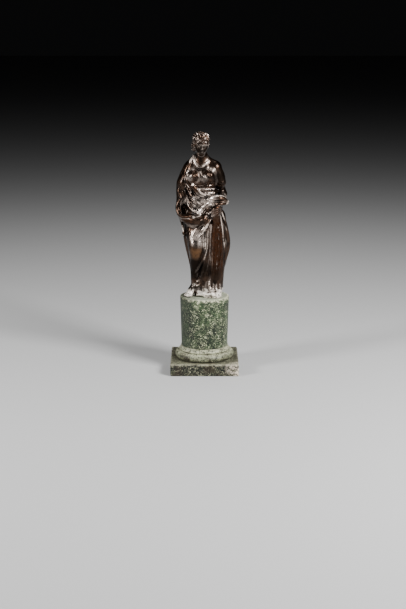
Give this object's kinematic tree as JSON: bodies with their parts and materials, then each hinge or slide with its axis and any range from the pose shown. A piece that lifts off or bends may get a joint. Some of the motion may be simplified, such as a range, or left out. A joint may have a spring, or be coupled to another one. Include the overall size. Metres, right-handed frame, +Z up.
{
  "type": "bronze statuette of a draped woman on a marble socle",
  "caption": "Standing draped woman cast in bronze, mantle gathered at her left hand, on a turned green marble drum and moulded square base.",
  "frame": {"origin": "centre of the square base's underside", "axes": "+Z up, front of the figure towards -Y, its left hand towards +X"},
  "size_m": [0.072, 0.072, 0.2512],
  "materials": {
    "bronze": "dark brown patinated bronze, worn warm on the knee and dusty in the hem",
    "drum_marble": "polished green marble with pale flecks, worn at the rim",
    "base_marble": "polished dark green and brown marble with pale inclusions"
  },
  "bodies": {
    "root": {"bronze_figure": "bronze", "column_drum": "drum_marble", "moulded_base": "base_marble"}
  },
  "joints": []
}
